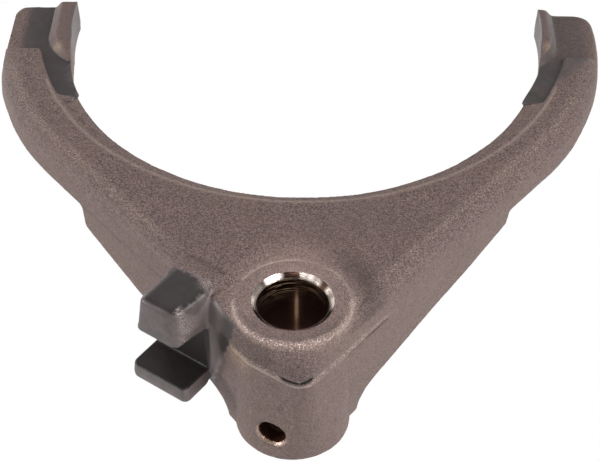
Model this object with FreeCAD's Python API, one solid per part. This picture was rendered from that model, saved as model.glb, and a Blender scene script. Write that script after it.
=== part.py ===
import FreeCAD, Part
import math
import os
from FreeCAD import Vector

# Gearbox shift fork: one drop forging with a hub for the shift rail, a selector claw beside
# the hub, and two curved arms whose machined pads run in the groove of a sleeve.
# Millimetres. +Z up the rail, +Y to the sleeve. Heights are counted from the hub's top face;
# the finished fork is lifted so that the origin is the rail axis in the forging's parting plane.

# ---- driving dimensions -------------------------------------------------------------------

# hub
rail_bore_d = 16.0            # running fit on the shift rail
bore_chamfer_w = 1.14         # radial width of the flat countersink
bore_chamfer_h = 0.62
hub_height = 38.4
boss_r = 13.2                 # raised ring round the bore, at the parting plane
boss_edge_r = 1.2
hub_foot_r = 13.2
hub_foot_edge_r = 1.0
nose_round_r = 4.5            # apex of the V where the hub meets the parting plane
nose_left_normal = 124.0      # degrees, outward normal of the left side of the V

# pin hole through the hub wall
pin_hole_d = 6.4
pin_hole_z = -30.0
pin_hole_dir = -110.0         # degrees in plan
pin_csk_d = 8.0
pin_csk_h = 0.8

# forged plate: web and arms
web_top_z = -0.5
parting_z = -7.5              # where the two die halves meet
arm_bottom_z = -9.5
draft = 7.0                   # degrees, upper die
lip = 0.35                    # die mismatch, the upper half stands proud
flank_offset = 14.2           # rail axis to the side of the web, at the parting plane
arm_outer_r = 78.3
arm_outer_x = -0.95           # the outside of the forging leans a little to the claw's side
arm_outer_y = 101.0
throat_r = 59.8               # forged inside arc
throat_y = 95.4
tip_y = 112.0
tip_corner_r = 5.5
tip_flat_y = 92.0             # where the flat on the left tip's outside begins
tip_flat_in = 3.2             # how much it takes off at the end face
plate_edge_r = 4.0
shoulder_r = 68.1             # where the top face falls away to the throat
shoulder_y = 101.0
shoulder_slope = 0.30

# two ribs under the sides of the web
rib_w = 11.0                  # at the parting plane
rib_length = 63.5             # from the foot of the perpendicular through the rail axis
rib_draft = 3.5
rib_start_z = -33.2
rib_rise = 0.30               # its underside climbs this much for each unit of length
rib_claw_drop = 2.6           # the rib on the claw's side reaches this much lower
rib_hub_r = 5.0               # hollow where the underside turns down the hub
rib_edge_r = 2.2

# machined sleeve pads
sleeve_x = 0.9                # the pads' bore is off the forging's middle plane
sleeve_y = 104.5              # rail axis to sleeve axis
pad_r = 61.2
pad_floor_z = -2.0
pad_step_r = 68.6
pad_front_y = 72.5
pad_foot_y = 84.0             # front end of the pad's bore, underneath
pad_proud = 0.15              # forged metal left on the throat wall for the pad
floor_front_y = 90.9
lug_top_z = 0.2
lug_outer_x = 65.8
lug_foot_y = 86.0
lug_turn_y = 97.5
lug_slope_w = 1.7
lug_edge_r = 0.9
lug_end_step = 0.2            # the lug stops this far short of the tip's end face

# selector claw
claw_dir = 235.5              # degrees in plan, the way the claw points
claw_mid = 23.4               # rail axis to the claw's middle plane
claw_reach = 19.3
claw_top_w = 8.8
claw_draft = 8.2
claw_bottom_z = -26.3
claw_root = 1.5               # how far in its block starts, inside the web
claw_root_r = 2.0             # hollow between the claw and the hub
claw_corner_r = 1.6
claw_edge_r = 1.3
claw_ramp = 7.0               # inside this its top runs down into the web
slot_top_z = -10.3
slot_bottom_z = -22.3
slot_back = 10.5

UP = Vector(0, 0, 1)


# ---- small helpers ------------------------------------------------------------------------

def on_circle(cx, cy, r, deg, z):
    """Point at an angle on a circle in a plane of constant height."""
    a = math.radians(deg)
    return Vector(cx + r * math.cos(a), cy + r * math.sin(a), z)


def line(p, q):
    return Part.LineSegment(p, q).toShape()


def arc(cx, cy, r, start, end, z):
    """Arc from one angle to another, turning the way that end lies from start."""
    middle = on_circle(cx, cy, r, (start + end) / 2, z)
    return Part.Arc(on_circle(cx, cy, r, start, z), middle, on_circle(cx, cy, r, end, z)).toShape()


def ruled(lower, upper):
    """Solid between two closed outlines with the same run of edges."""
    return Part.makeLoft([lower, upper], True, True)


def drum(r, z0, z1, x=0.0, y=0.0):
    return Part.makeCylinder(r, z1 - z0, Vector(x, y, z0), UP)


def taper(height, angle):
    return height * math.tan(math.radians(angle))


def fillet_at(shape, r, wanted):
    """Round the edges that the test picks out."""
    edges = [e for e in shape.Edges if wanted(e)]
    return shape.makeFillet(r, edges)


def edge_mid(e):
    return e.valueAt((e.FirstParameter + e.LastParameter) / 2)


# ---- plate: web and arms ------------------------------------------------------------------

def flank_angle():
    """Half the angle between the web's sides, which touch the hub's and the arms' circles."""
    apart = math.hypot(arm_outer_x, arm_outer_y)
    return math.degrees(math.asin((arm_outer_r - flank_offset) / apart))


def lean():
    """Turn of the forging's middle line from the Y axis."""
    return math.degrees(math.atan2(-arm_outer_x, arm_outer_y))


def leaning(shape):
    return shape.rotated(Vector(0, 0, 0), UP, lean())


def side_points(inset):
    """Angles and circles of the right-hand side of the plate's outline."""
    outer = arm_outer_r - inset
    corner = tip_corner_r
    cy = tip_y - corner
    reach = outer + inset - corner
    cx = math.sqrt(reach ** 2 - (cy - arm_outer_y) ** 2)
    turn = math.degrees(math.atan2(cy - arm_outer_y, cx))
    return outer, cx, cy, corner - inset, turn


def plate_outline(inset, z):
    """Closed outline of the plate: hub end, web sides, arms and throat."""
    right = lean() - flank_angle()
    left = lean() + flank_angle() - 180
    outer, cx, cy, corner, turn = side_points(inset)
    hub = flank_offset - inset
    end_y = cy + corner
    throat = throat_r + inset
    dip = math.degrees(math.asin((end_y - throat_y) / throat))
    right_foot = on_circle(0, 0, hub, right, z)
    left_foot = on_circle(0, 0, hub, left, z)
    right_touch = on_circle(arm_outer_x, arm_outer_y, outer, right, z)
    left_touch = on_circle(arm_outer_x, arm_outer_y, outer, left, z)
    right_end = on_circle(0, throat_y, throat, dip, z)
    left_end = on_circle(0, throat_y, throat, 180 - dip, z)
    edges = [
        arc(0, 0, hub, left, right, z),
        line(right_foot, right_touch),
        arc(arm_outer_x, arm_outer_y, outer, right, turn, z),
        arc(arm_outer_x + cx, cy, corner, turn, 90, z),
        line(Vector(arm_outer_x + cx, end_y, z), right_end),
        arc(0, throat_y, throat, dip, -180 - dip, z),
        line(left_end, Vector(arm_outer_x - cx, end_y, z)),
        arc(arm_outer_x - cx, cy, corner, 90, 180 - turn, z),
        arc(arm_outer_x, arm_outer_y, outer, 180 - turn, 360 + left, z),
        line(left_touch, left_foot),
    ]
    return Part.Wire(edges)


def plate():
    rise = taper(web_top_z - parting_z, draft)
    upper = ruled(plate_outline(0, parting_z), plate_outline(rise, web_top_z))

    def outer_top(e):
        m = edge_mid(e)
        inside = math.hypot(m.x, m.y - throat_y) < throat_r + 4 * rise
        return abs(e.BoundBox.ZMin - web_top_z) < 1e-6 and e.BoundBox.ZLength < 1e-6 and not inside

    upper = fillet_at(upper, plate_edge_r, outer_top)
    drop = taper(parting_z - arm_bottom_z, draft)
    lower = ruled(plate_outline(lip + drop, arm_bottom_z), plate_outline(lip, parting_z))
    return upper, lower


def tip_flat_cut():
    """Tool outside the flat that narrows the left arm to its tip."""
    wide = arm_outer_r - arm_outer_x
    low = arm_bottom_z - 1
    section = Part.makePolygon([
        Vector(-wide, tip_flat_y, low),
        Vector(tip_flat_in - wide, tip_y, low),
        Vector(tip_flat_in - wide, tip_y + 1, low),
        Vector(-wide - 1, tip_y + 1, low),
        Vector(-wide - 1, tip_flat_y, low),
        Vector(-wide, tip_flat_y, low),
    ])
    return Part.Face(section).extrude(UP * hub_height)


def shoulder_cut():
    """Tool above the sloping strip along the throat, coned about its own centre."""
    inner = shoulder_r - 16
    fall = 16 * shoulder_slope
    top = web_top_z + 1
    section = Part.makePolygon([
        Vector(inner, 0, top),
        Vector(inner, 0, web_top_z - fall),
        Vector(shoulder_r, 0, web_top_z),
        Vector(shoulder_r, 0, top),
        Vector(inner, 0, top),
    ])
    tool = Part.Face(section).revolve(Vector(0, 0, 0), UP, 360)
    tool.translate(Vector(0, shoulder_y, 0))
    return tool


# ---- ribs ---------------------------------------------------------------------------------

def rib_frame():
    """Unit vectors along and out of the right-hand side of the web."""
    a = math.radians(flank_angle())
    return Vector(math.sin(a), math.cos(a), 0), Vector(math.cos(a), -math.sin(a), 0)


def rib_outline(inset, z):
    along, out = rib_frame()
    near = flank_offset - rib_w + inset
    far = flank_offset - lip - inset
    end = rib_length - inset
    corners = [(0, near), (0, far), (end, far), (end, near), (0, near)]
    return Part.makePolygon([along * s + out * d + Vector(0, 0, z) for s, d in corners])


def rib_profile(start_z):
    """Side view of a rib: straight rising underside, hollowed against the hub."""
    along, out = rib_frame()
    tilt = math.atan(rib_rise)
    wall = math.sqrt(hub_foot_r ** 2 - (flank_offset - rib_w / 2) ** 2)
    mid = wall + rib_hub_r
    mid_z = start_z + rib_rise * mid - rib_hub_r / math.cos(tilt)
    touch = mid - rib_hub_r * math.sin(tilt)
    half = (math.pi + math.pi / 2 + tilt) / 2

    def place(s, z):
        return along * s + out * flank_offset * 1.5 + Vector(0, 0, z)

    def on_hollow(angle):
        return place(mid + rib_hub_r * math.cos(angle), mid_z + rib_hub_r * math.sin(angle))

    start = place(wall, mid_z)
    end = place(touch, start_z + rib_rise * touch)
    hollow = Part.Arc(start, on_hollow(half), end).toShape()
    tip = place(rib_length + 1, start_z + rib_rise * (rib_length + 1))
    rest = Part.makePolygon([end, tip, place(rib_length + 1, 0), place(0, 0), place(0, mid_z), start])
    face = Part.Face(Part.Wire([hollow] + rest.Edges))
    return face.extrude(out * -flank_offset * 2)


def rib(start_z):
    depth = hub_height + parting_z
    body = ruled(rib_outline(taper(depth, rib_draft), -hub_height), rib_outline(0, parting_z))
    body = body.common(rib_profile(start_z))

    def underside(e):
        m = edge_mid(e)
        return e.Length > rib_length / 2 and m.z < parting_z - 1

    return fillet_at(body, rib_edge_r, underside)


# ---- hub ----------------------------------------------------------------------------------

def teardrop(r, nose_r, z):
    """Round hub outline with a V drawn out to the front."""
    right = -flank_angle()
    left = -nose_left_normal
    half = math.radians((right - left) / 2)
    axis = (right + left) / 2
    centre = on_circle(0, 0, (r - nose_r) / math.cos(half), axis, z)
    right_foot = on_circle(0, 0, r, right, z)
    left_foot = on_circle(0, 0, r, left, z)
    right_turn = on_circle(centre.x, centre.y, nose_r, right, z)
    left_turn = on_circle(centre.x, centre.y, nose_r, left, z)
    edges = [
        arc(0, 0, r, right, 360 + left, z),
        line(left_foot, left_turn),
        arc(centre.x, centre.y, nose_r, left, right, z),
        line(right_turn, right_foot),
    ]
    return Part.Wire(edges)


def hub_circle(r, z):
    """The same circle cut at the places where the V's lines and apex begin."""
    right = -flank_angle()
    left = -nose_left_normal
    third = (right - left) / 4
    stops = [right, 360 + left]
    front = [left, left + third, right - third, right]
    edges = [arc(0, 0, r, stops[0], stops[1], z)]
    for start, end in zip(front, front[1:]):
        edges.append(arc(0, 0, r, start, end, z))
    return Part.Wire(edges)


def rounded_disc(r, edge_r, z_face, up):
    """Disc as thick as its rounded edge, its face at z_face and turned up or down."""
    flat = r - edge_r
    foot = z_face - up * edge_r
    turn = math.radians(45)
    bulge = Vector(flat + edge_r * math.cos(turn), 0, foot + up * edge_r * math.sin(turn))
    rim = Part.Arc(Vector(r, 0, foot), bulge, Vector(flat, 0, z_face)).toShape()
    rest = Part.makePolygon([Vector(flat, 0, z_face), Vector(0, 0, z_face), Vector(0, 0, foot), Vector(r, 0, foot)])
    section = Part.Face(Part.Wire([rim] + rest.Edges))
    return section.revolve(Vector(0, 0, 0), UP, 360)


def hub():
    top = -boss_edge_r
    foot = hub_foot_edge_r - hub_height
    upper = ruled(teardrop(flank_offset, nose_round_r, parting_z), hub_circle(boss_r, top))
    upper = upper.fuse(rounded_disc(boss_r, boss_edge_r, 0, 1))
    under = teardrop(flank_offset - lip, nose_round_r - lip, parting_z)
    lower = ruled(hub_circle(hub_foot_r, foot), under)
    lower = lower.fuse(rounded_disc(hub_foot_r, hub_foot_edge_r, -hub_height, -1))
    return upper, lower


# ---- sleeve pads --------------------------------------------------------------------------

def mirrored(shape):
    return shape.mirror(Vector(0, 0, 0), Vector(1, 0, 0))


def pad_floor_cut():
    """Everything milled away above the pads' floor, around where the lugs will stand."""
    height = 10
    wide = 2 * arm_outer_r
    across = Part.makeBox(2 * wide, wide, height, Vector(-wide, floor_front_y, pad_floor_z))
    along = Part.makeBox(2 * wide, wide, height, Vector(-wide, pad_front_y, pad_floor_z))
    ring = drum(pad_step_r, pad_floor_z, pad_floor_z + height, 0, sleeve_y)
    return across.fuse(along.common(ring))


def pad_stock():
    """Metal left proud of the throat for the pad, its front end leaning back underneath."""
    back = tip_y - plate_edge_r
    section = Part.makePolygon([
        Vector(throat_r - 12, pad_front_y, pad_floor_z),
        Vector(throat_r - 12, back, pad_floor_z),
        Vector(throat_r - 12, back, arm_bottom_z),
        Vector(throat_r - 12, pad_foot_y, arm_bottom_z),
        Vector(throat_r - 12, pad_front_y, pad_floor_z),
    ])
    stock = Part.Face(section).extrude(Vector(14, 0, 0))
    return stock.cut(drum(throat_r - pad_proud, arm_bottom_z, 0, 0, throat_y))


def lug_outline(inset, z):
    """Plan of a lug: straight outside, turned in to meet the pad's bore at the foot."""
    foot_x = math.sqrt(pad_r ** 2 - (lug_foot_y - sleeve_y) ** 2)
    deep = lug_outer_x - foot_x
    high = lug_turn_y - lug_foot_y
    turn_r = (deep ** 2 + high ** 2) / (2 * deep)
    centre_x = lug_outer_x - turn_r
    sweep = math.degrees(math.asin(high / turn_r))
    back = tip_y - taper(z - parting_z, draft) - lug_end_step
    inner = pad_r - 8
    outer = lug_outer_x - inset
    foot = on_circle(centre_x, lug_turn_y, turn_r - inset, -sweep, z)
    edges = [
        line(Vector(inner, back, z), Vector(inner, foot.y, z)),
        line(Vector(inner, foot.y, z), foot),
        arc(centre_x, lug_turn_y, turn_r - inset, -sweep, 0, z),
        line(Vector(outer, lug_turn_y, z), Vector(outer, back, z)),
        line(Vector(outer, back, z), Vector(inner, back, z)),
    ]
    return Part.Wire(edges)


def lug():
    height = lug_top_z - pad_floor_z
    steep = lug_slope_w / height
    sunk = 1.0
    body = ruled(lug_outline(-sunk * steep, pad_floor_z - sunk), lug_outline(lug_slope_w, lug_top_z))

    def rim(e):
        m = edge_mid(e)
        return m.z > lug_top_z - 1e-6 and m.x > pad_r - 7

    return fillet_at(body, lug_edge_r, rim)


# ---- selector claw ------------------------------------------------------------------------

def claw_point(u, w, z):
    """u runs out along the claw, w across it from the rail axis."""
    a = math.radians(claw_dir)
    out = Vector(math.cos(a), math.sin(a), 0)
    across = Vector(math.sin(a), -math.cos(a), 0)
    return out * u + across * w + Vector(0, 0, z)


def claw_arc(cu, cw, r, start, end, z):
    def at(deg):
        a = math.radians(deg)
        return claw_point(cu + r * math.cos(a), cw + r * math.sin(a), z)

    return Part.Arc(at(start), at((start + end) / 2), at(end)).toShape()


def claw_outline(half, side, z):
    """Plan of the claw's block: rounded free end, hollow root on the hub's side."""
    high = claw_mid + half
    low = claw_mid - half
    r = claw_corner_r
    turn = math.radians(180 - claw_dir + flank_angle() + lean())
    root = claw_root_r
    cw = low - root
    cu = (side + root + cw * math.sin(turn)) / math.cos(turn)
    touch_u = cu - root * math.cos(turn)
    touch_w = cw + root * math.sin(turn)
    edges = [
        line(claw_point(claw_root, high, z), claw_point(claw_reach - r, high, z)),
        claw_arc(claw_reach - r, high - r, r, 90, 0, z),
        line(claw_point(claw_reach, high - r, z), claw_point(claw_reach, low + r, z)),
        claw_arc(claw_reach - r, low + r, r, 0, -90, z),
        line(claw_point(claw_reach - r, low, z), claw_point(cu, low, z)),
        claw_arc(cu, cw, root, 90, 180 - math.degrees(turn), z),
        line(claw_point(touch_u, touch_w, z), claw_point(claw_root, touch_w, z)),
        line(claw_point(claw_root, touch_w, z), claw_point(claw_root, high, z)),
    ]
    return Part.Wire(edges)


def claw_level(z):
    """The claw's plan at one height; it widens downwards from its top face."""
    half = claw_top_w / 2 + taper(-z, claw_draft)
    side = flank_offset - taper(abs(z - parting_z), draft)
    return claw_outline(half, side, z)


def claw():
    upper = ruled(claw_level(parting_z), claw_level(0))
    lower = ruled(claw_level(claw_bottom_z), claw_level(parting_z))
    body = upper.fuse(lower)

    def foot(e):
        m = edge_mid(e)
        free = m.x * math.cos(math.radians(claw_dir)) + m.y * math.sin(math.radians(claw_dir))
        return m.z < claw_bottom_z + 1e-6 and free > flank_offset

    return fillet_at(body, claw_edge_r, foot).cut(claw_slot()).cut(claw_ramp_cut())


def claw_ramp_cut():
    """Tool above the claw's root, where its top slopes down to the level of the web."""
    low = 2 * claw_mid
    section = Part.makePolygon([
        claw_point(claw_ramp, 0, 0),
        claw_point(claw_root, 0, web_top_z),
        claw_point(claw_root - 1, 0, web_top_z),
        claw_point(claw_root - 1, 0, 1),
        claw_point(claw_ramp, 0, 1),
        claw_point(claw_ramp, 0, 0),
    ])
    return Part.Face(section).extrude(claw_point(0, low, 0))


def claw_slot():
    """The selector finger's slot, open at the claw's end and at both its sides."""
    wide = claw_mid
    floor = Part.makePolygon([
        claw_point(slot_back, claw_mid - wide, slot_bottom_z),
        claw_point(2 * claw_reach, claw_mid - wide, slot_bottom_z),
        claw_point(2 * claw_reach, claw_mid + wide, slot_bottom_z),
        claw_point(slot_back, claw_mid + wide, slot_bottom_z),
        claw_point(slot_back, claw_mid - wide, slot_bottom_z),
    ])
    return Part.Face(floor).extrude(UP * (slot_top_z - slot_bottom_z))


# ---- the whole forging --------------------------------------------------------------------

def forging():
    web_upper, web_lower = plate()
    hub_upper, hub_lower = hub()
    web_upper = web_upper.cut(shoulder_cut())
    right_rib = rib(rib_start_z)
    left_rib = mirrored(rib(rib_start_z - rib_claw_drop))
    right_pad = pad_stock()
    return web_upper.fuse([
        web_lower, leaning(hub_upper), leaning(hub_lower), claw(),
        leaning(right_rib), leaning(left_rib), right_pad, mirrored(right_pad),
    ])


def machined_pads(body):
    right_lug = lug().cut(drum(throat_r - pad_proud, arm_bottom_z, hub_height, 0, throat_y))
    body = body.cut(pad_floor_cut()).cut(tip_flat_cut())
    body = body.fuse([right_lug, mirrored(right_lug)])
    depth = hub_height + rail_bore_d
    return body.cut(drum(pad_r, -depth, depth, sleeve_x, sleeve_y))


def rail_bore():
    r = rail_bore_d / 2
    through = drum(r, -2 * hub_height, hub_height)
    mouth = Part.makeCone(r, r + 2 * bore_chamfer_w, 2 * bore_chamfer_h, Vector(0, 0, -bore_chamfer_h), UP)
    return through.fuse(mouth)


def pin_hole():
    """Hole for a spring pin, through both walls of the hub."""
    out = on_circle(0, 0, 1, pin_hole_dir, 0)
    reach = 2 * hub_foot_r
    start = Vector(0, 0, pin_hole_z) - out * reach
    through = Part.makeCylinder(pin_hole_d / 2, 2 * reach, start, out)
    edge = Vector(0, 0, pin_hole_z) + out * (hub_foot_r - pin_csk_h)
    mouth = Part.makeCone(pin_hole_d / 2, pin_csk_d / 2 + pin_csk_h, 2 * pin_csk_h, edge, out)
    return through.fuse(mouth)


def fork():
    body = machined_pads(forging())
    body = body.cut(rail_bore()).cut(pin_hole())
    return body.translated(UP * -parting_z)


os.makedirs("parts", exist_ok=True)
fork().exportStep("parts/fork.step")
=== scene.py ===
import math
import bmesh
import bpy
import numpy as np
from mathutils import Euler, Matrix, Vector


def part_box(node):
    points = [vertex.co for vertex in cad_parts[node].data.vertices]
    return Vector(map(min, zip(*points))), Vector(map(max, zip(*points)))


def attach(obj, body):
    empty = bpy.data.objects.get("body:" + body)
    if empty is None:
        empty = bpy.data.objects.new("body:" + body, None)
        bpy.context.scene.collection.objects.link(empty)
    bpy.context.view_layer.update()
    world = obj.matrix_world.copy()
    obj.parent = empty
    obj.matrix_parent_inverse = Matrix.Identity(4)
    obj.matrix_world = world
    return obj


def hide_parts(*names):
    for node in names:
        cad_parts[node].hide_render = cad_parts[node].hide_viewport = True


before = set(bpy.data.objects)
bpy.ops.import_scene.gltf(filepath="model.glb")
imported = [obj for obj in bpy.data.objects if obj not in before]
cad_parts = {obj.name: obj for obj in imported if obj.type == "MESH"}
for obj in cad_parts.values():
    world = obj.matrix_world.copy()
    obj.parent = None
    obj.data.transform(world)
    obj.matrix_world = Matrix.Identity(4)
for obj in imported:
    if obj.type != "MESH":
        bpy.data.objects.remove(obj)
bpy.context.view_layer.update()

# Lengths are in millimetres and angles in radians, unless a comment says otherwise.
MM = 0.001                                    # one millimetre in scene units
LUG_ABOVE_HUB = 0.2                           # the lugs' tops stand this far above the hub's top face
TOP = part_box("fork")[1][2] / MM - LUG_ABOVE_HUB   # hub's top face
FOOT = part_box("fork")[0][2] / MM                  # hub's lower end


# ---- a small language for shaders ---------------------------------------------------------

class Wire:
    """An output of a shader node. Arithmetic on it adds math nodes."""

    def __init__(self, graph, socket):
        self.graph = graph
        self.socket = socket

    def maths(self, how, other, clamp=False):
        return self.graph.add("ShaderNodeMath", {"operation": how, "use_clamp": clamp}, [self, other])

    def __add__(self, other):
        return self.maths("ADD", other)

    def __radd__(self, other):
        return self.maths("ADD", other)

    def __sub__(self, other):
        return self.maths("SUBTRACT", other)

    def __rsub__(self, other):
        return self.graph.add("ShaderNodeMath", {"operation": "SUBTRACT"}, [other, self])

    def __mul__(self, other):
        return self.maths("MULTIPLY", other)

    def clamp(self):
        return self.maths("ADD", 0.0, clamp=True)

    def step(self, low, high):
        """0 below low, 1 above high, smooth between."""
        names = {"Value": self, "From Min": low, "From Max": high}
        return self.graph.add("ShaderNodeMapRange", {"interpolation_type": "SMOOTHSTEP"}, names)


class Graph:
    """A material's node tree, written as formulas."""

    def __init__(self, tree):
        self.tree = tree
        self.tree.nodes.clear()

    def add(self, kind, settings, values, output=0):
        node = self.tree.nodes.new(kind)
        for name, value in settings.items():
            setattr(node, name, value)
        pairs = values.items() if isinstance(values, dict) else enumerate(values)
        for name, value in pairs:
            socket = node.inputs[name]
            if isinstance(value, Wire):
                self.tree.links.new(value.socket, socket)
            else:
                socket.default_value = value
        return Wire(self, node.outputs[output]) if node.outputs else node

    def point(self):
        return self.add("ShaderNodeTexCoord", {}, {}, "Object")

    def stretched(self, point, scale):
        return self.add("ShaderNodeMapping", {}, {"Vector": point, "Scale": scale})

    def noise(self, point, size, detail=2.0, rough=0.5):
        """Noise with lumps of about that size."""
        values = {"Vector": point, "Scale": 1 / (size * MM), "Detail": detail, "Roughness": rough}
        return self.add("ShaderNodeTexNoise", {}, values)

    def cells(self, point, size):
        values = {"Vector": point, "Scale": 1 / (size * MM)}
        return self.add("ShaderNodeTexVoronoi", {}, values)

    def mask(self, name):
        """Value that paint_masks or a lathe piece stored at each point of the mesh."""
        return self.add("ShaderNodeAttribute", {"attribute_name": name}, {}, "Fac")

    def mix(self, factor, a, b):
        values = {0: factor, 6: a, 7: b}
        return self.add("ShaderNodeMix", {"data_type": "RGBA"}, values, 2)

    def bump(self, height, depth):
        """depth is the height that the value 1 stands for."""
        values = {"Height": height, "Distance": depth * MM, "Strength": 1.0}
        return self.add("ShaderNodeBump", {}, values)


def rgb(r, g, b):
    """Colour from 0-255 screen values."""
    def linear(v):
        v = v / 255
        return v / 12.92 if v <= 0.04045 else ((v + 0.055) / 1.055) ** 2.4
    return (linear(r), linear(g), linear(b), 1.0)


def new_material(name):
    material = bpy.data.materials.new(name)
    material.use_nodes = True
    return material, Graph(material.node_tree)


def finish_material(graph, values):
    shader = graph.add("ShaderNodeBsdfPrincipled", {}, values)
    graph.add("ShaderNodeOutputMaterial", {}, {"Surface": shader})


# ---- materials ----------------------------------------------------------------------------

SKIN_DARK = rgb(44, 33, 32)
SKIN_LIGHT = rgb(137, 115, 110)
SKIN_BROWN = rgb(116, 96, 86)
SKIN_STAINED = rgb(86, 72, 72)
SKIN_ON_THE_SIDES = rgb(128, 108, 100)
# painted shade: the skin's grain from dark to light where it is shaded
SHADED_DARK = rgb(34, 25, 24)
SHADED_LIGHT = rgb(100, 83, 78)
# wear and painted highlight on the forging's corners
WORN_AND_HIGHLIT = rgb(150, 130, 120)
FLECK = rgb(200, 183, 170)
# wear and painted highlight along thin lines
WORN_HIGHLIGHT_LINE = rgb(168, 150, 140)
YELLOWISH = rgb(166, 144, 120)
# painted shade in crevices, where the surface lies in
CREVICE_SHADE = rgb(46, 37, 35)
CUT_DARK = rgb(80, 72, 72)
CUT_LIGHT = rgb(99, 89, 89)
CUT_PALE = rgb(122, 111, 110)
# blackened cut metal, also used for painted shade deep in the hollow
CUT_BLACKENED_AND_SHADED = rgb(28, 23, 23)
CUT_EDGE = rgb(160, 150, 147)
CRUMB = rgb(178, 164, 158)
# painted shade in the slit under the hub's nose and in the fold on its right side
SLIT_AND_FOLD_SHADE = rgb(16, 11, 9)
PIN_RING = rgb(172, 150, 136)
PIN_HOLE = rgb(92, 60, 44)

GRAIN = 0.30                                  # lumps of the blasted surface
ROUGH_SKIN, ROUGH_CUT, ROUGH_RING = 0.62, 0.42, 0.25


def grey(value):
    return (value, value, value, 1)


def forging_colour(g, p, grain, flecks):
    """Blasted skin: dark pits, light crests, stains, wear with painted highlight on corners and lines,
    painted shade and painted shade in crevices.
    """
    plain = g.mask("plain")
    tone = grain.step(0.32, 0.68) * 0.75 + g.noise(p, 0.8, 2.0, 0.6).step(0.3, 0.7) * 0.25
    tone = tone * (1.0 - plain * 0.6) + plain * 0.24
    skin = g.mix(tone, SKIN_DARK, SKIN_LIGHT)
    patches = g.noise(p, 14, 3.0, 0.55)
    skin = g.mix(patches.step(0.45, 0.75) * 0.30, skin, SKIN_BROWN)
    stains = g.noise(p, 34, 2.0, 0.5)
    skin = g.mix(stains.step(0.50, 0.80) * 0.35, skin, SKIN_STAINED)
    skin = g.mix(g.mask("side") * 0.30, skin, SKIN_ON_THE_SIDES)

    # wear and painted highlight on the forging's corners
    corner = (g.mask("worn") + g.mask("edge").step(0.35, 0.9) * 0.18).clamp()
    skin = g.mix(corner * 0.22, skin, WORN_AND_HIGHLIT)
    between = 1.0 - g.cells(p, 0.55).step(0.30, 0.7)
    fleck = (corner * 1.3 * flecks.step(0.46, 0.60) * between).clamp()
    skin = g.mix(fleck * 0.7, skin, FLECK)
    # wear and painted highlight along thin lines
    skin = g.mix((g.mask("line") * (0.4 + flecks)).clamp() * 0.7, skin, WORN_HIGHLIGHT_LINE)
    skin = g.mix(g.mask("tan") * flecks.step(0.35, 0.6) * 0.75, skin, YELLOWISH)

    # painted shade, keeping the grain
    skin = g.mix(g.mask("shade"), skin, g.mix(tone, SHADED_DARK, SHADED_LIGHT))
    # painted shade in crevices
    return g.mix(g.mask("crevice_shade").step(0.45, 1.0) * 0.35, skin, CREVICE_SHADE)


def cut_colour(g, p):
    """Grey metal left by the cutters, blackened on the claw's top, in its slot and on the pads, with
    painted shade deep in the hollow.
    """
    cut = g.mix(g.noise(p, 2.2, 4.0, 0.6).step(0.3, 0.7), CUT_DARK, CUT_LIGHT)
    cut = g.mix(g.mask("pale") * 0.75, cut, CUT_PALE)
    # blackened metal, and painted shade deep in the hollow
    cut = g.mix(g.mask("dark"), cut, CUT_BLACKENED_AND_SHADED)
    return g.mix(g.mask("edge").step(0.5, 1.0) * 0.12, cut, CUT_EDGE)


def forged_steel():
    """Shot-blasted forging skin, with smoother grey metal wherever the masks say it was cut."""
    material, g = new_material("forged steel")
    p = g.point()
    grain = g.noise(p, GRAIN, 2.0, 0.6)
    flecks = g.noise(p, GRAIN, 2.0, 0.7)
    milled = g.mask("milled")
    ring = g.mask("bright")
    crumbs = g.mask("crumbs") * flecks.step(0.42, 0.6)

    skin = g.mix(crumbs * 0.6, forging_colour(g, p, grain, flecks), CRUMB)
    cut = g.mix(crumbs * 0.8, cut_colour(g, p), CRUMB)
    colour = g.mix(milled, skin, cut)
    # painted shade in the slit and the fold
    colour = g.mix(g.mask("slit_and_fold_shade"), colour, SLIT_AND_FOLD_SHADE)
    colour = g.mix(ring, colour, PIN_RING)
    colour = g.mix(g.mask("hole"), colour, PIN_HOLE)

    rough = g.mix(milled, grey(ROUGH_SKIN), grey(ROUGH_CUT))
    rough = g.mix(ring, rough, grey(ROUGH_RING))
    relief = grain * 0.7 + g.noise(p, 1.1, 2.0, 0.5) * 0.5
    scratches = g.noise(g.stretched(p, (1.0, 1.0, 3.0)), 0.6, 3.0, 0.6)
    height = relief * (1.0 - milled) + scratches * milled * 0.18
    finish_material(g, {
        "Base Color": colour,
        "Metallic": 0.12 + ring * 0.6,
        "Roughness": rough,
        "Normal": g.bump(height, 0.16),
    })
    return material


def turned_steel():
    """Bright countersink with fine turning marks round it and painted dark reflections."""
    material, g = new_material("turned steel")
    p = g.point()
    rings = g.noise(g.stretched(p, (0.02, 0.02, 1.0)), 0.22, 3.0, 0.6)
    blotches = g.noise(p, 3.0, 3.0, 0.5).step(0.35, 0.7)
    clean = g.mix(blotches, rgb(196, 186, 178), rgb(168, 154, 146))
    finish_material(g, {
        # painted dark reflection on the chamfer
        "Base Color": g.mix(g.mask("dark_reflection"), clean, rgb(36, 24, 19)),
        "Metallic": 1.0,
        "Roughness": 0.20 + rings * 0.14,
        "Normal": g.bump(rings, 0.02),
    })
    return material


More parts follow.
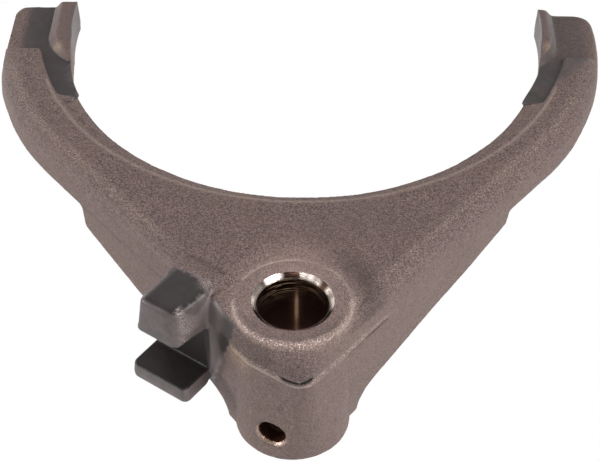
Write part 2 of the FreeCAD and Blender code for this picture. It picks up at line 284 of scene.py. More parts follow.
def bored_steel():
    """Dark wall of the bore, with tool marks round it and a painted highlight streak along it."""
    material, g = new_material("bored steel")
    p = g.point()
    rings = g.noise(g.stretched(p, (0.03, 0.03, 1.0)), 0.30, 3.0, 0.7)
    crests = rings.step(0.52, 0.62)
    highlight_streak = g.mask("highlight_streak") * (0.55 + rings)
    marks = g.mask("marks")
    marked = g.mix(crests, rgb(60, 42, 34), rgb(205, 172, 138))
    wall = g.mix(marks, rgb(112, 82, 70), marked)
    finish_material(g, {
        # painted highlight streak down the bore's back
        "Base Color": g.mix(highlight_streak, wall, rgb(190, 152, 120)),
        "Metallic": 1.0 - highlight_streak * 0.22 - marks * crests * 0.55,
        "Roughness": 0.62,
        "Anisotropic": 0.95,
        "Normal": g.bump(rings, 0.03),
    })
    return material


# ---- meshes -------------------------------------------------------------------------------

def add_object(name, mesh):
    piece = bpy.data.objects.new(name, mesh)
    bpy.context.scene.collection.objects.link(piece)
    return piece


def add_modifier(piece, name, kind, **settings):
    modifier = piece.modifiers.new(name, kind)
    for setting, value in settings.items():
        setattr(modifier, setting, value)


def bake(piece):
    """Applies the modifiers of a piece."""
    view = bpy.context.evaluated_depsgraph_get()
    mesh = bpy.data.meshes.new_from_object(piece.evaluated_get(view))
    piece.modifiers.clear()
    old = piece.data
    piece.data = mesh
    bpy.data.meshes.remove(old)


def welded_copy(node):
    """Copy of a node's mesh in the scene's own frame, with its faces joined at their edges."""
    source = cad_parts[node]
    bm = bmesh.new()
    bm.from_mesh(source.data)
    bm.transform(source.matrix_world)
    bmesh.ops.remove_doubles(bm, verts=bm.verts, dist=1e-7)
    bmesh.ops.recalc_face_normals(bm, faces=bm.faces)
    mesh = bpy.data.meshes.new(node + "_skin")
    bm.to_mesh(mesh)
    bm.free()
    return add_object(node + "_skin", mesh)


def points_of(mesh):
    flat = np.empty(len(mesh.vertices) * 3)
    mesh.vertices.foreach_get("co", flat)
    return flat.reshape(-1, 3) / MM


def normals_of(mesh):
    flat = np.empty(len(mesh.vertices) * 3)
    mesh.vertices.foreach_get("normal", flat)
    return flat.reshape(-1, 3)


def move_points(mesh, p):
    mesh.vertices.foreach_set("co", (p * MM).ravel())
    mesh.update()


def set_mask(mesh, name, values):
    layer = mesh.attributes.new(name, "FLOAT", "POINT")
    layer.data.foreach_set("value", np.ascontiguousarray(values, dtype=np.float32))


def weigh(piece, name, weights):
    """Vertex group in eight steps of weight."""
    group = piece.vertex_groups.new(name=name)
    steps = np.round(weights * 8).astype(int)
    for step in range(1, 9):
        group.add(np.flatnonzero(steps == step).tolist(), step / 8, "REPLACE")


# ---- formulas over points -----------------------------------------------------------------

def smooth_step(x, low, high):
    t = np.clip((x - low) / (high - low), 0, 1)
    return t * t * (3 - 2 * t)


def bell(x, middle, width, power=2):
    """1 at the middle, falling off to both sides."""
    return np.exp(-((x - middle) / width) ** power)


def to_path(x, y, corners):
    """Plan distance to a run of straight stretches."""
    best = np.full(len(x), 1e3)
    for (ax, ay), (bx, by) in zip(corners, corners[1:]):
        dx, dy = bx - ax, by - ay
        t = np.clip(((x - ax) * dx + (y - ay) * dy) / (dx * dx + dy * dy), 0, 1)
        best = np.minimum(best, np.hypot(x - ax - t * dx, y - ay - t * dy))
    return best


def plan_and_depth(p):
    """x, y and the height above the hub's top face."""
    return p[:, 0], p[:, 1], p[:, 2] - TOP


# ---- the claw -----------------------------------------------------------------------------

CLAW_TURN = math.radians(235.5)               # the way the claw points, seen from above
CLAW_OUT = np.array([math.cos(CLAW_TURN), math.sin(CLAW_TURN)])
CLAW_ACROSS = np.array([CLAW_OUT[1], -CLAW_OUT[0]])
CLAW_MIDDLE = 23.4                            # the claw's middle line, across
SLOT_TOP, SLOT_FLOOR = -9.9, -22.6            # heights between which the slot is blackened
SLOT_BACK, CLAW_END = 9.9, 19.25              # and how far out the blackening starts and ends


def claw_frame(p):
    """Distances out along the claw and across it, and the height above the hub's top face."""
    return p[:, :2] @ CLAW_OUT, p[:, :2] @ CLAW_ACROSS, p[:, 2] - TOP


def claw_back(w):
    """How far out the cut top of the claw begins."""
    return 6.5 + 0.06 * (w - 23) ** 2


def hollow_side(z):
    """How far across the hollow in the hub's side begins."""
    return 6.7 + 0.37 * np.maximum(0, -4.5 - z)


def claw_zone(p):
    """1 on the cut claw and in the hollow that its cutter left in the hub's side."""
    u, w, z = claw_frame(p)
    half_width = 4.4 - 0.144 * z
    ragged = 0.25 * np.sin(z * 1.9) + 0.15 * np.sin(z * 4.7 + 1)
    under_web = smooth_step(-2.2 + 0.15 * (w - 7) - z, 0, 0.4)
    under_web = np.maximum(under_web, smooth_step(w, 13.5, 14.5))
    zone = smooth_step(w - hollow_side(z) + ragged, 0, 0.5) * under_web * smooth_step(u, 3.5, 4.5)
    return zone * (1 - smooth_step(w - CLAW_MIDDLE, half_width + 0.3, half_width + 0.9))


def claw_top(p, n):
    """1 on the claw's blackened top face, which has a ragged border with round corners."""
    u, w, z = claw_frame(p)
    ragged = 0.35 * np.sin(w * 2.7 + 0.7) + 0.25 * np.sin(w * 6.3 + u)
    near = 17.3 + 0.3 * np.sin(u * 1.9) + 0.2 * np.sin(u * 5.1)
    back = claw_back(w)
    top = smooth_step(u + ragged, back - 0.3, back + 0.5) * (1 - smooth_step(u, 18.1, 18.9))
    reach = ((u - 12.3) / 7.3) ** 4 + ((w - 22.0) / 5.5) ** 4 + 0.10 * ragged
    top = top * (1 - smooth_step(reach, 0.85, 1.15))
    top = top * smooth_step(w, near, near + 0.5) * (1 - smooth_step(w, 26.0, 27.0))
    return top * (z > -3.0) * (n[:, 2] > 0.5)


# ---- the pads, the arms and the hub -------------------------------------------------------

PAD_X, PAD_Y, PAD_R = 0.9, 104.5, 61.2        # the cylinder that the pads' inner walls lie on
PAD_DEPTH = 2.0                               # the pads' floors below the hub's top face
LUG_START_Y = 84                              # the walls' cut look and the lugs' plain skin begin here

ARM_Y = 101.0                                 # middle of the arms' circles
ARM_SHIFT = 0.95                              # the outer circle lies this far to the claw's side
ARM_EDGE_R = 74.2                             # corner between the arms' top and their outside
# the throat's thin light line is wear and painted highlight
THROAT_LINE_R = 68.1                          # thin light line along the throat's shoulder
# angles between the straight flanks and the Y axis
RIGHT_FLANK, LEFT_FLANK = math.radians(38.63), math.radians(39.71)
FLANK_OUT = 10.3                              # the straight flanks' upper corners from the rail's axis

RIM_R = 13.0                                  # corner between the hub's top and its side
# edge under the hub's nose, in plan
NOSE = [(-12.6, -6.6), (-7.9, -11.8), (-1.0, -16.6), (2.3, -17.5), (5.2, -16.2), (11.1, -8.9), (16.0, -2.9)]
CREASE = [(12.9, -6.0), (20.4, 3.4)]          # short fold in the hub's right side

PIN_TURN = math.radians(-110)                 # the way the pin's hole faces
PIN_DEPTH = 30.0                              # middle of the hole below the hub's top face
# middles of the yellowish patches, their heights above the hub's top face, and their radii
YELLOWISH_PATCHES = [
    (-12.5, -7.2, -9.5, 4.4),
    (-63.0, 91.1, -0.9, 1.8),
    (64.2, 94.0, -0.4, 2.2),
    (-31.0, 12.0, -1, 2.6),
]


def pad_floor(p, n):
    """1 on the flat upper faces that were cut on the pads."""
    _, y, z = plan_and_depth(p)
    return (np.abs(z + PAD_DEPTH) < 0.3) * (y > 72.0) * smooth_step(n[:, 2], 0.6, 0.9)


def milled_mask(p, n):
    """Where cutters went: everywhere, on the pads' floors alone, and round the claw alone."""
    x, y, z = plan_and_depth(p)
    u, w, _ = claw_frame(p)
    zone = claw_zone(p)
    web = (n[:, 2] > 0.75) * (z > -3.5)
    back = claw_back(w) + 0.4 * np.sin(w * 2.7 + 0.7)
    zone = zone * (1 - web) + zone * web * smooth_step(u, back - 1.0, back) * (w > 16.3)
    wall = np.abs(np.hypot(x - PAD_X, y - PAD_Y) - PAD_R) < 0.45
    wall = wall & (y > LUG_START_Y)
    floor = pad_floor(p, n)
    left = smooth_step(x, -74.0, -71.0) * (x < 0)
    right = (x > 0) * (1 - 0.45 * smooth_step(y, 87, 95)) * (1 - smooth_step(x, 72.0, 75.0))
    return np.clip(zone + wall + floor * (left + right), 0, 1), floor, zone


def slit_level(x):
    """Height of the slit under the hub's nose, which turns up at its right end."""
    return -8.2 + 0.75 * np.clip((x - 2.0) / 2.6, 0, 1)


def slit_width(x):
    """1 along the slit, 0 past its ends."""
    return smooth_step(x, -2.6, -1.0) * (1 - smooth_step(x, 4.2, 4.9))


def slit(p, half_height, strength):
    """The slit under the hub's nose."""
    x, y, z = plan_and_depth(p)
    return strength * bell(z, slit_level(x), half_height) * slit_width(x) * (y < -12)


def crease(p, half_height, strength):
    """The short fold in the hub's right side."""
    x, y, z = plan_and_depth(p)
    return strength * bell(z, -9.5, half_height) * bell(to_path(x, y, CREASE), 0, 1.2, 4)


# ---- masks for the material ---------------------------------------------------------------

def blackened_and_shaded_mask(p, n, floor, claw):
    """Blackened metal on the claw's top, in its slot and on the pads, and painted shade at the deep end of
    the hollow.
    """
    u, w, z = claw_frame(p)
    in_slot = (z < SLOT_TOP) * (z > SLOT_FLOOR) * (u < CLAW_END) * (u > SLOT_BACK)
    slot = claw * in_slot * smooth_step(w, 15.3, 15.8)
    # painted shade on the hollow's steep part next to the web, fading downwards
    deep = claw * (1 - smooth_step(w - hollow_side(z), 2.6, 4.6)) * (1 - smooth_step(-z, 12, 18))
    pads = np.where(p[:, 0] > 0, 0.65, 0.72) * floor
    return np.clip(deep * 0.75 + claw_top(p, n) * 0.84 + slot * 0.9 + pads, 0, 1)


def worn_and_highlit_corners(p):
    """Bands along the forging's corners where the blast has brightened it, with painted highlight on the
    same bands.
    """
    x, y, z = plan_and_depth(p)
    r, turn = np.hypot(x, y), np.arctan2(y, x)
    front = 0.35 + 0.65 * smooth_step(-np.sin(turn + 0.45), -0.1, 0.8)
    rim = bell(np.hypot(r - RIM_R, (z + 0.7) * 0.7), 0, 0.55) * front
    halo = 0.5 * bell(r, 12.9, 0.8) * smooth_step(np.cos(turn + 0.2), 0.1, 0.8) * (z > -4)
    nose = bell(np.hypot(to_path(x, y, NOSE) * 0.5, z + 8.1), 0, 0.85)
    fold = 0.8 * bell(to_path(x, y, CREASE), 0, 1.5, 4) * bell(z, -8.0, 1.0)

    right = x * math.cos(RIGHT_FLANK) - y * math.sin(RIGHT_FLANK)
    left = -x * math.cos(LEFT_FLANK) - y * math.sin(LEFT_FLANK)
    straight = np.abs(np.where(x > 0, right, left) - FLANK_OUT)
    curved = np.abs(np.hypot(x + ARM_SHIFT, y - ARM_Y) - ARM_EDGE_R)
    past = smooth_step(y, 46, 52)
    flank = straight * (1 - past) + curved * past
    arms = bell(flank, 0, 1.2) * (z > -2.5) * smooth_step(y, -6, 2) * (1 - smooth_step(y, 80, 92))
    return np.clip((rim + halo + nose + fold + arms * 0.55) * clear_of_claw(p), 0, 1)


def worn_and_highlight_lines(p):
    """Thin light lines of wear and painted highlight: along the throat, round the hub's rim and under its
    nose.
    """
    x, y, z = plan_and_depth(p)
    throat = bell(np.hypot(x, y - ARM_Y), THROAT_LINE_R, 0.35) * (z > -1.2) * (y < 78)
    rim = bell(np.hypot(x, y), 13.1, 0.28) * (z > -1.5) * (y > -9)
    nose = bell(np.hypot(to_path(x, y, NOSE) * 0.5, z + 9.1), 0, 0.38) * np.where(x < 4.5, 1.3, 0.3)
    return (throat * 0.8 + rim * 0.7 + nose) * clear_of_claw(p)


def clear_of_claw(p):
    """0 round the claw's root, 1 away from it."""
    u, w, _ = claw_frame(p)
    return 1 - smooth_step(w, 9, 12) * smooth_step(u, -1, 3)


def painted_shade_mask(p):
    """Painted shade: inside the hub's rim, in the valley round it, at the right tip and under the rim's
    front.
    """
    x, y, z = plan_and_depth(p)
    r, turn = np.hypot(x, y), np.arctan2(y, x)
    rim = (0.45 + 0.3 * smooth_step(-y, 3, 9)) * (1 - smooth_step(r, 11.6, 13.0)) * (z > -1)
    right_tip = 0.28 * smooth_step(x, 58, 70) * smooth_step(y, 55, 80)
    valley = 0.80 * bell(r, 17.2, 3.2) * smooth_step(np.cos(turn - 0.1), 0.2, 0.9) * (z > -4)
    under_rim = 0.28 * smooth_step(-z, 1.5, 2.5) * smooth_step(z, -8, -7) * (y < 2)
    sides = 1 + 1.5 * smooth_step(-x, 2, 6) - smooth_step(x, 3, 8)
    return np.clip(rim + right_tip + valley + under_rim * sides, 0, 1)


def yellowish_mask(p):
    x, y, z = plan_and_depth(p)
    total = np.zeros(len(x))
    for cx, cy, cz, size in YELLOWISH_PATCHES:
        total += np.exp(-(((x - cx) ** 2 + (y - cy) ** 2 + (z - cz) ** 2) / size ** 2) ** 1.5)
    return np.clip(total, 0, 1)


def crumb_mask(p):
    """Light crumbs on the claw: down its outer corner and along the back of its top."""
    u, w, z = claw_frame(p)
    corner = bell(u, 16.9, 1.1) * (w < 18.9) * (z > -10.5)
    heap = np.exp(-((u - 6.9) ** 2 + (w - 18.2) ** 2) / 1.5 ** 2) * (z > -2)
    back = 0.45 * bell(u, 6.0, 0.7) * (z > -2) * (w > 17) * (w < 27)
    return np.clip(corner + heap + back, 0, 1) * (w > 14) * (w < 29)


def pale_mask(p, claw):
    """Lighter cut metal on the hollow's outer part."""
    _, w, z = claw_frame(p)
    return (w < 16.3) * smooth_step(w, 10.5, 12.5) * claw * (1 - 0.5 * smooth_step(-z, 22, 26))


def arm_end_mask(p):
    """Blackened slope at the end of the right arm, bounded by a slanting ragged line."""
    x, y, z = plan_and_depth(p)
    line_x, line_y = 75.0, 91.0
    run, rise, length = 10.5, 11.5, 15.57
    past = (run * (y - line_y) - rise * (x - line_x)) / length + 0.3 * np.sin(y * 1.7)
    return smooth_step(past, -0.8, 1.0) * (z > -1.9) * (z < -0.2) * (x > 55) * smooth_step(y, 79.5, 82)


def pin_masks(p):
    """Bright countersink round the pin's hole, and the dark of the hole."""
    out = np.array([math.cos(PIN_TURN), math.sin(PIN_TURN)])
    along = p[:, :2] @ out
    across = p[:, :2] @ np.array([-out[1], out[0]])
    z = p[:, 2] - TOP
    off = np.hypot(across, z + PIN_DEPTH)
    outside = along > 8.6
    border = np.hypot(across / 3.75, (z + PIN_DEPTH + 0.25) / 3.5)
    ring = smooth_step(off, 3.0, 3.2) * (1 - smooth_step(border, 0.97, 1.04)) * outside
    return ring, (off < 3.35) * outside * (along < 12.4)


def edge_masks(mesh, p, n):
    """How far each point stands out from its neighbours, and how far it lies in, a few cells round."""
    ends = np.empty(len(mesh.edges) * 2, dtype=np.int64)
    mesh.edges.foreach_get("vertices", ends)
    ends = ends.reshape(-1, 2)
    a, b = ends[:, 0], ends[:, 1]
    count = np.bincount(ends.ravel(), minlength=len(p)).astype(float)

    def spread(values):
        total = np.bincount(a, values[b], len(p)) + np.bincount(b, values[a], len(p))
        return total / np.maximum(count, 1)

    middle = np.stack([spread(p[:, i]) for i in range(3)], axis=1)
    out = ((p - middle) * n).sum(axis=1)
    size = np.sqrt(np.bincount(a, ((p[a] - p[b]) ** 2).sum(1), len(p)) / np.maximum(count / 2, 1))
    bend = out / np.maximum(size, 1e-6)
    for _ in range(4):
        bend = spread(bend)
    return np.clip(bend * 6, 0, 1), np.clip(-bend * 6, 0, 1)


def paint_masks(mesh):
    p, n = points_of(mesh), normals_of(mesh)
    x, y, z = plan_and_depth(p)
    milled, floor, claw = milled_mask(p, n)
    arm_end = arm_end_mask(p)
    milled = np.maximum(milled, arm_end * 0.85)
    ring, hole = pin_masks(p)
    forged = milled < 0.5
    lug = (y > LUG_START_Y) * (np.hypot(x - PAD_X, y - PAD_Y) < 67.5) * (z > -1.7)
    masks = {
        "milled": milled,
        "plain": lug * 1.0,
        "tan": yellowish_mask(p),
        # blackened metal, and painted shade deep in the hollow
        "dark": np.maximum(blackened_and_shaded_mask(p, n, floor, claw), arm_end * 0.35),
        # painted shade in the slit and the fold
        "slit_and_fold_shade": np.clip(slit(p, 0.50, 2.6) + crease(p, 0.34, 0.7), 0, 1),
        "shade": painted_shade_mask(p),
        "pale": pale_mask(p, claw),
        "crumbs": crumb_mask(p),
        # wear and painted highlight on the corners
        "worn": worn_and_highlit_corners(p) * forged,
        # wear and painted highlight along thin lines
        "line": worn_and_highlight_lines(p) * forged,
        "bright": ring,
        "hole": hole,
        "side": np.clip(1 - np.abs(n[:, 2]) * 1.4, 0, 1),
    }
    for name, values in masks.items():
        set_mask(mesh, name, values)


# ---- the fork's skin ----------------------------------------------------------------------

CELL = 0.26                                   # cells of the even mesh
SKIN_POINTS = 96000                           # points that are left after thinning
LUMPS = [(9.0, 0.20), (2.4, 0.10), (0.9, 0.05)]   # sizes and depths of the die's unevenness
SINK_R = 9.3                                  # the skin is cleared this far round the countersink
BOX_GAP = 0.02                                # the skin stays this far inside the solid's box

# corners of two blocks of metal that join the claw to the hub, out, across and above the hub's top
SHOULDER = [
    (18.5, 17.7, -0.1), (18.5, 20, -0.1), (8.4, 16.9, -0.1), (8.4, 20, -0.1),
    (5.6, 16.4, -0.9), (5.6, 20, -0.9), (18.9, 17.3, -9.8), (18.9, 20, -9.8),
    (9.6, 15.7, -9.8), (6.5, 15.2, -9.8), (6.5, 20, -9.8), (5.2, 15.0, -4.5),
]
HOLLOW = [
    (8.4, 16.7, -1.2), (8.5, 13.6, -1.4), (9.8, 10.0, -1.9), (11.2, 7.2, -2.6), (12.0, 6.9, -4.7),
    (11.1, 9.3, -12.1), (9.6, 12.6, -23.1), (8.3, 16.1, -28.4), (9.9, 15.8, -9.8), (9.9, 15.8, -22.2),
    (9.9, 15.8, -26.0), (5.0, 13.0, -3.0), (6.0, 9.0, -6.0), (5.0, 13.0, -25.0), (6.0, 16.0, -28.0),
]


def block(corners):
    """Smallest block round points given in the claw's frame."""
    bm = bmesh.new()
    for u, w, z in corners:
        plan = CLAW_OUT * u + CLAW_ACROSS * w
        bm.verts.new((plan[0] * MM, plan[1] * MM, (z + TOP) * MM))
    made = bmesh.ops.convex_hull(bm, input=bm.verts)
    loose = [v for v in made["geom_interior"] if isinstance(v, bmesh.types.BMVert)]
    bmesh.ops.delete(bm, geom=loose, context="VERTS")
    bmesh.ops.recalc_face_normals(bm, faces=bm.faces)
    return bm


def add_blocks(piece, blocks):
    """Puts blocks of metal into the mesh; the even mesh made next joins them to it."""
    both = bmesh.new()
    both.from_mesh(piece.data)
    for corners in blocks:
        bm = block(corners)
        extra = bpy.data.meshes.new("block")
        bm.to_mesh(extra)
        bm.free()
        both.from_mesh(extra)
        bpy.data.meshes.remove(extra)
    both.to_mesh(piece.data)
    both.free()


def softness(p, n):
    """How far the forging's corners are rounded off, 0 to 1."""
    x, y, z = plan_and_depth(p)
    u, w, _ = claw_frame(p)
    r = np.hypot(x, y)
    milled, _, claw = milled_mask(p, n)
    arms = smooth_step(r, 15, 22) * (1 - milled) * (1 - 0.25 * (y > 71))
    shoulder = np.exp(-((u - 6.5) ** 2 + (w - 14.6) ** 2 + ((z + 3) * 0.6) ** 2) / 3.2 ** 2)
    hollow = 0.8 * np.exp(-((u - 9.5) ** 2 + (w - 12.5) ** 2) / 3.5 ** 2) * (z > -29) * (z < -3)
    jaws = claw * (u > 10) * np.where(z < -9.0, 0.3, 1.0)
    soft = np.maximum.reduce([arms, jaws, shoulder, hollow])
    return np.clip(soft * (r > 9.8), 0, 1)


def upper_jaw(p):
    """1 on the upper jaw, whose corners are rounded further."""
    u, w, z = claw_frame(p)
    return claw_zone(p) * (u > 9) * (z > -9.2) * (w > 15.5)


def hand_of_the_die(p, n):
    """Small shapes of the forging, as lengths along the normal."""
    x, y, z = plan_and_depth(p)
    u, w, _ = claw_frame(p)
    r = np.hypot(x, y)
    away = 1 - smooth_step(w, 8, 12) * smooth_step(u, -2, 3)
    up = smooth_step(n[:, 2], 0.8, 0.95)
    side = 1 - smooth_step(np.abs(n[:, 2]), 0.35, 0.6)
    valley = -0.30 * bell(r, 15.4, 1.5) * up * away
    ring = 0.10 * bell(r, 12.3, 0.40) * up * (z > -0.4)
    off = to_path(x, y, NOSE) * 0.5
    lip = 0.30 * bell(np.hypot(off, z + 9.2), 0, 0.5)
    groove = -0.20 * bell(np.hypot(off, z + 7.9), 0, 0.5) * (1 - slit_width(x))
    groove = groove + crease(p, 0.35, -0.35)
    inside = np.hypot(x, y - 95.4) < 63
    above_ribs = smooth_step(z, -14, -10)
    throat = 0.45 * side * inside * (1 - smooth_step(y, 68, 80)) * above_ribs
    flank = 0.30 * side * ~inside * (1 - smooth_step(np.abs(x), 71, 74)) * smooth_step(y, 15, 32)
    flank = flank * (1 - smooth_step(y, 60, 74))
    left_pad = 0.2 * side * (x < 0) * smooth_step(y, 80, 88) * (x > -64)
    return valley + ring + slit(p, 0.42, -2.0) + lip + groove + throat + flank + left_pad


def grind_left_tip(x, y):
    """The left tip's outside, ground flat with a round corner."""
    flat_x, end_y, corner = -76.1, 111.7, 5.5
    tip = (y > 72) & (x < 0)
    x[tip] = np.maximum(x[tip], flat_x)
    cx, cy = flat_x + corner, end_y - corner
    past = tip & (x < cx) & (y > cy)
    dx, dy = x[past] - cx, y[past] - cy
    far = np.maximum(np.hypot(dx, dy) / corner, 1)
    x[past] = cx + dx / far
    y[past] = cy + dy / far


def open_right_pad(x, y):
    """The right pad's inner wall, cut a little further out towards the throat."""
    pad = np.hypot(x - PAD_X, y - PAD_Y)
    bore = PAD_R + 0.35 + 0.9 * (1 - smooth_step(y, 84, 95))
    push = np.maximum(bore / pad - 1, 0) * smooth_step(y, 68, 76) * (x > 20)
    x += (x - PAD_X) * push
    y += (y - PAD_Y) * push


def trimmed(p):
    """The skin's points after grinding, clearing the countersink and thickening the lower jaw."""
    x, y, z = p[:, 0].copy(), p[:, 1].copy(), p[:, 2].copy()
    grind_left_tip(x, y)
    open_right_pad(x, y)
    r = np.hypot(x, y)
    sunk = (r > 8.0) & (r < SINK_R) & (z > TOP - 1.6)
    z[sunk] = np.minimum(z[sunk], TOP - 0.08 - 1.1 * np.maximum(8.98 - r[sunk], 0))
    u, w, h = claw_frame(p)
    jaw = (u > 10.5) & (w > 15) & (w < 31) & (h < -23.6)
    z[jaw] -= 0.9 * smooth_step(-h[jaw], 23.6, 25.5) * smooth_step(u[jaw], 10.5, 12.0)
    return np.stack([x, y, z], axis=1)


def in_the_box(p):
    low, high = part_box("fork")
    return np.clip(p, np.array(low) / MM + BOX_GAP, np.array(high) / MM - BOX_GAP)


def kept_fine(p, n):
    """Points that thinning leaves: at the hub's front, on the right pad's floor and the claw's top."""
    nose = (np.hypot(p[:, 0], p[:, 1]) < 20) & (p[:, 1] < -2) & (p[:, 2] > TOP - 12)
    pad = (pad_floor(p, n) > 0.5) & (p[:, 1] > 80) & (p[:, 0] > 0)
    return nose | pad | (claw_top(p, n) > 0.02)


def even_and_round(piece):
    """Even mesh with the forging's worn corners."""
    add_modifier(piece, "even", "REMESH", mode="VOXEL", voxel_size=CELL * MM)
    bake(piece)
    p, n = points_of(piece.data), normals_of(piece.data)
    weigh(piece, "soft", softness(p, n))
    weigh(piece, "jaw", upper_jaw(p))
    add_modifier(piece, "cells", "SMOOTH", factor=0.5, iterations=2)
    add_modifier(piece, "worn", "SMOOTH", factor=0.5, iterations=45, vertex_group="soft")
    add_modifier(piece, "rounder", "SMOOTH", factor=0.5, iterations=55, vertex_group="jaw")
    bake(piece)


def add_small_shapes(piece):
    """Marks of the die and the grinder, and the masks that need an even mesh."""
    p, n = points_of(piece.data), normals_of(piece.data)
    milled, _, _ = milled_mask(p, n)
    edge, crevice_shade = edge_masks(piece.data, p, n)
    set_mask(piece.data, "edge", edge)
    # painted shade goes where the surface lies in
    set_mask(piece.data, "crevice_shade", crevice_shade)
    p = p + n * (hand_of_the_die(p, n) * (1 - smooth_step(milled, 0.2, 0.6)))[:, None]
    p = trimmed(p)
    move_points(piece.data, p)
    piece.vertex_groups.clear()
    weigh(piece, "rough", (1 - milled) * (np.hypot(p[:, 0], p[:, 1]) > 9.6))
    weigh(piece, "coarse", 1.0 - kept_fine(p, n))


def roughen_and_thin(piece):
    """Uneven forged surface, then fewer points where it is smooth."""
    for size, depth in LUMPS:
        lumps = bpy.data.textures.new("lumps", "CLOUDS")
        lumps.noise_scale = size * MM
        add_modifier(
            piece, "lumps", "DISPLACE", texture=lumps, texture_coords="LOCAL",
            vertex_group="rough", strength=depth * MM, mid_level=0.5,
        )
    share = min(1.0, SKIN_POINTS / len(piece.data.vertices))
    add_modifier(piece, "thin", "DECIMATE", ratio=share, vertex_group="coarse")
    bake(piece)


def smooth_shaded(mesh, angle):
    mesh.polygons.foreach_set("use_smooth", [True] * len(mesh.polygons))
    mesh.set_sharp_from_angle(angle=math.radians(angle))


def forged_skin():
    piece = welded_copy("fork")
    add_blocks(piece, (SHOULDER, HOLLOW))
    even_and_round(piece)
    add_small_shapes(piece)
    roughen_and_thin(piece)
    move_points(piece.data, in_the_box(points_of(piece.data)))
    paint_masks(piece.data)
    smooth_shaded(piece.data, 60)
    piece.data.materials.clear()
    piece.data.materials.append(forged_steel())
    return piece


# ---- the turned pieces --------------------------------------------------------------------

LINING_R = 7.92                               # the bore's wall stands a hair inside the skin
SINK_DEPTH = 1.15                             # lower edge of the countersink below the hub's top face
TURNED_STEPS = 256                            # points round each turned ring


def lathe(name, profile, material):
    """Surface turned about Z from (radius, height) pairs."""
    bm = bmesh.new()
    rings = []
    for radius, height in profile:
        ring = []
        for i in range(TURNED_STEPS):
            a = 2 * math.pi * i / TURNED_STEPS
            ring.append(bm.verts.new((radius * math.cos(a) * MM, radius * math.sin(a) * MM, height * MM)))
        rings.append(ring)
    for low, high in zip(rings, rings[1:]):
        for i in range(TURNED_STEPS):
            j = (i + 1) % TURNED_STEPS
            bm.faces.new((low[i], high[i], high[j], low[j]))
    mesh = bpy.data.meshes.new(name)
    bm.to_mesh(mesh)
    bm.free()
    for face in mesh.polygons:
        face.use_smooth = True
    mesh.materials.append(material)
    return add_object(name, mesh)


def turn_and_depth(mesh):
    """Angle round the bore in radians, and depth below the hub's top face."""
    p = points_of(mesh)
    return np.arctan2(p[:, 1], p[:, 0]), TOP - p[:, 2]


def countersink():
    """Bright chamfer at the bore's mouth, with painted dark reflections at the back, at two places beside
    it and in front.
    """
    profile = [(9.02, TOP - 0.01), (8.5, TOP - 0.50), (8.02, TOP - 1.00), (LINING_R, TOP - SINK_DEPTH)]
    piece = lathe("countersink", profile, turned_steel())
    turn, _ = turn_and_depth(piece.data)
    back = 1.3 * bell(turn, 1.62, 0.25, 4)
    beside = bell(turn, 0.66, 0.20, 4) + 0.9 * bell(turn, 2.46, 0.12)
    front = 0.95 * smooth_step(-turn, 0.15, 0.35) * (1 - smooth_step(-turn, 2.75, 2.95))
    # painted dark reflection at the back, beside it and in front
    set_mask(piece.data, "dark_reflection", np.clip(back + beside + front, 0, 1))
    return piece


def bore_lining():
    """The bore's wall, with tool marks near its mouth and a painted highlight streak down its back."""
    heights = [TOP - SINK_DEPTH - 1.1 * i for i in range(16)] + [FOOT + 4, FOOT + 0.4]
    profile = [(LINING_R, height) for height in heights] + [(8.30, FOOT + 0.03)]
    piece = lathe("bore_lining", profile, bored_steel())
    turn, depth = turn_and_depth(piece.data)
    marks = (bell(turn, 2.2, 0.7) + 0.35 * bell(turn, 0.9, 0.5)) * smooth_step(-depth, -9, -2)
    set_mask(piece.data, "marks", marks)
    # painted highlight streak down the bore's back
    streak_turn = 1.487
    fade = smooth_step(depth, 3.0, 9.0) * (1 - 0.55 * smooth_step(depth, 11.5, 15.0))
    streak = bell(turn, streak_turn, 0.05) + 0.22 * bell(turn, streak_turn, 0.14)
    set_mask(piece.data, "highlight_streak", np.clip(streak * (0.06 + 0.94 * fade), 0, 1))
    return piece


skin = forged_skin()
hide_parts("fork")
for piece in (skin, countersink(), bore_lining()):
    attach(piece, "root")


# ---- studio, in metres and watts ----------------------------------------------------------

FLOOR_DROP = 0.06                             # gap between the fork and the floor
FLOOR_HALF = 1.6                              # half the floor's side
BORE = (0, 0, 0)                              # on the rail's axis
MIDDLE = (0, 0.03, 0)                         # near the middle of the fork
CAMERA_PLACE = (5.895, -257.146, 257.290)     # millimetres, the last one above the hub's top face
CAMERA_TURN = (47.38345, -0.29301, 1.26005)   # degrees about X, Y and Z
CAMERA_LENS = 100.66
WHITE = (1, 1, 1, 1)
FLOOR_GREY = (0.8, 0.8, 0.8, 1)
WARM_GREY = (0.79, 0.77, 0.75, 1)


def white_floor():
    """Pale floor that shows pure white to the camera."""
    material, g = new_material("white floor")
    path = g.add("ShaderNodeLightPath", {}, {}, "Is Camera Ray")
    plain = g.add("ShaderNodeBsdfDiffuse", {}, {"Color": FLOOR_GREY})
    white = g.add("ShaderNodeEmission", {}, {"Color": WHITE, "Strength": 1.0})
    both = g.add("ShaderNodeMixShader", {}, [path, plain, white])
    g.add("ShaderNodeOutputMaterial", {}, {"Surface": both})
    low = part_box("fork")[0][2] - FLOOR_DROP
    half = FLOOR_HALF
    mesh = bpy.data.meshes.new("floor")
    corners = [(-half, -half, low), (half, -half, low), (half, half, low), (-half, half, low)]
    mesh.from_pydata(corners, [], [(0, 1, 2, 3)])
    mesh.materials.append(material)
    floor = add_object("floor", mesh)


def hang(data, place, aim):
    """Puts a lamp at a place and points it."""
    lamp = bpy.data.objects.new(data.name, data)
    lamp.location = place
    lamp.rotation_euler = (Vector(aim) - Vector(place)).to_track_quat("-Z", "Y").to_euler()
    bpy.context.scene.collection.objects.link(lamp)


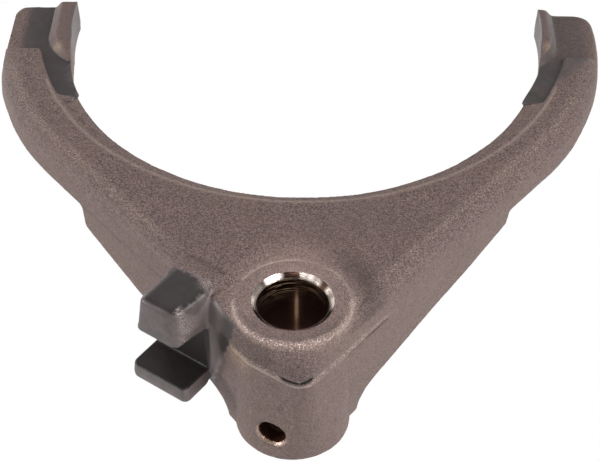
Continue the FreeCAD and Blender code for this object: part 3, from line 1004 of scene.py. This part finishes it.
def soft_light(name, place, aim, size, power):
    data = bpy.data.lights.new(name, "AREA")
    data.shape = "RECTANGLE"
    data.size = size[0]
    data.size_y = size[1]
    data.energy = power
    hang(data, place, aim)


def bore_light():
    """Narrow lamp down the rail's bore."""
    data = bpy.data.lights.new("bore", "SPOT")
    data.energy = 60.0
    data.spot_size = math.radians(1.7)
    data.spot_blend = 0.4
    data.shadow_soft_size = 0.01
    hang(data, (-0.045, -0.30, 0.55), (0, 0.001, TOP * MM))


def sky():
    """Even light from all sides, behind which the camera sees pure white."""
    world = bpy.data.worlds.new("studio")
    world.use_nodes = True
    g = Graph(world.node_tree)
    path = g.add("ShaderNodeLightPath", {}, {}, "Is Camera Ray")
    around = g.add("ShaderNodeBackground", {}, {"Color": WARM_GREY, "Strength": 0.40})
    white = g.add("ShaderNodeBackground", {}, {"Color": WHITE, "Strength": 1.0})
    both = g.add("ShaderNodeMixShader", {}, [path, around, white])
    g.add("ShaderNodeOutputWorld", {}, {"Surface": both})
    bpy.context.scene.world = world


def camera():
    data = bpy.data.cameras.new("camera")
    data.sensor_width = 36
    data.lens = CAMERA_LENS
    data.clip_start = 0.01
    eye = bpy.data.objects.new("camera", data)
    x, y, above_hub = CAMERA_PLACE
    place = Vector((x, y, above_hub + TOP)) * MM
    turn = Euler([math.radians(angle) for angle in CAMERA_TURN])
    eye.matrix_world = Matrix.Translation(place) @ turn.to_matrix().to_4x4()
    bpy.context.scene.collection.objects.link(eye)
    bpy.context.scene.camera = eye


white_floor()
soft_light("right", (0.66, -0.31, 0.50), MIDDLE, (0.45, 0.45), 7.0)
soft_light("left", (-0.84, -0.02, 0.26), MIDDLE, (0.45, 0.40), 5.2)
soft_light("back", (0.1, 0.7, 0.7), MIDDLE, (0.8, 0.4), 1.0)
soft_light("far left", (-0.55, 0.70, 0.12), BORE, (0.4, 0.4), 1.6)
soft_light("far right", (0.55, 0.70, 0.12), BORE, (0.4, 0.4), 1.1)
soft_light("glint right", (0.54, -0.44, 0.58), BORE, (0.12, 0.12), 0.40)
soft_light("glint left", (-0.54, -0.44, 0.58), BORE, (0.12, 0.12), 0.40)
bore_light()
sky()
camera()
bpy.context.scene.view_settings.view_transform = "Standard"
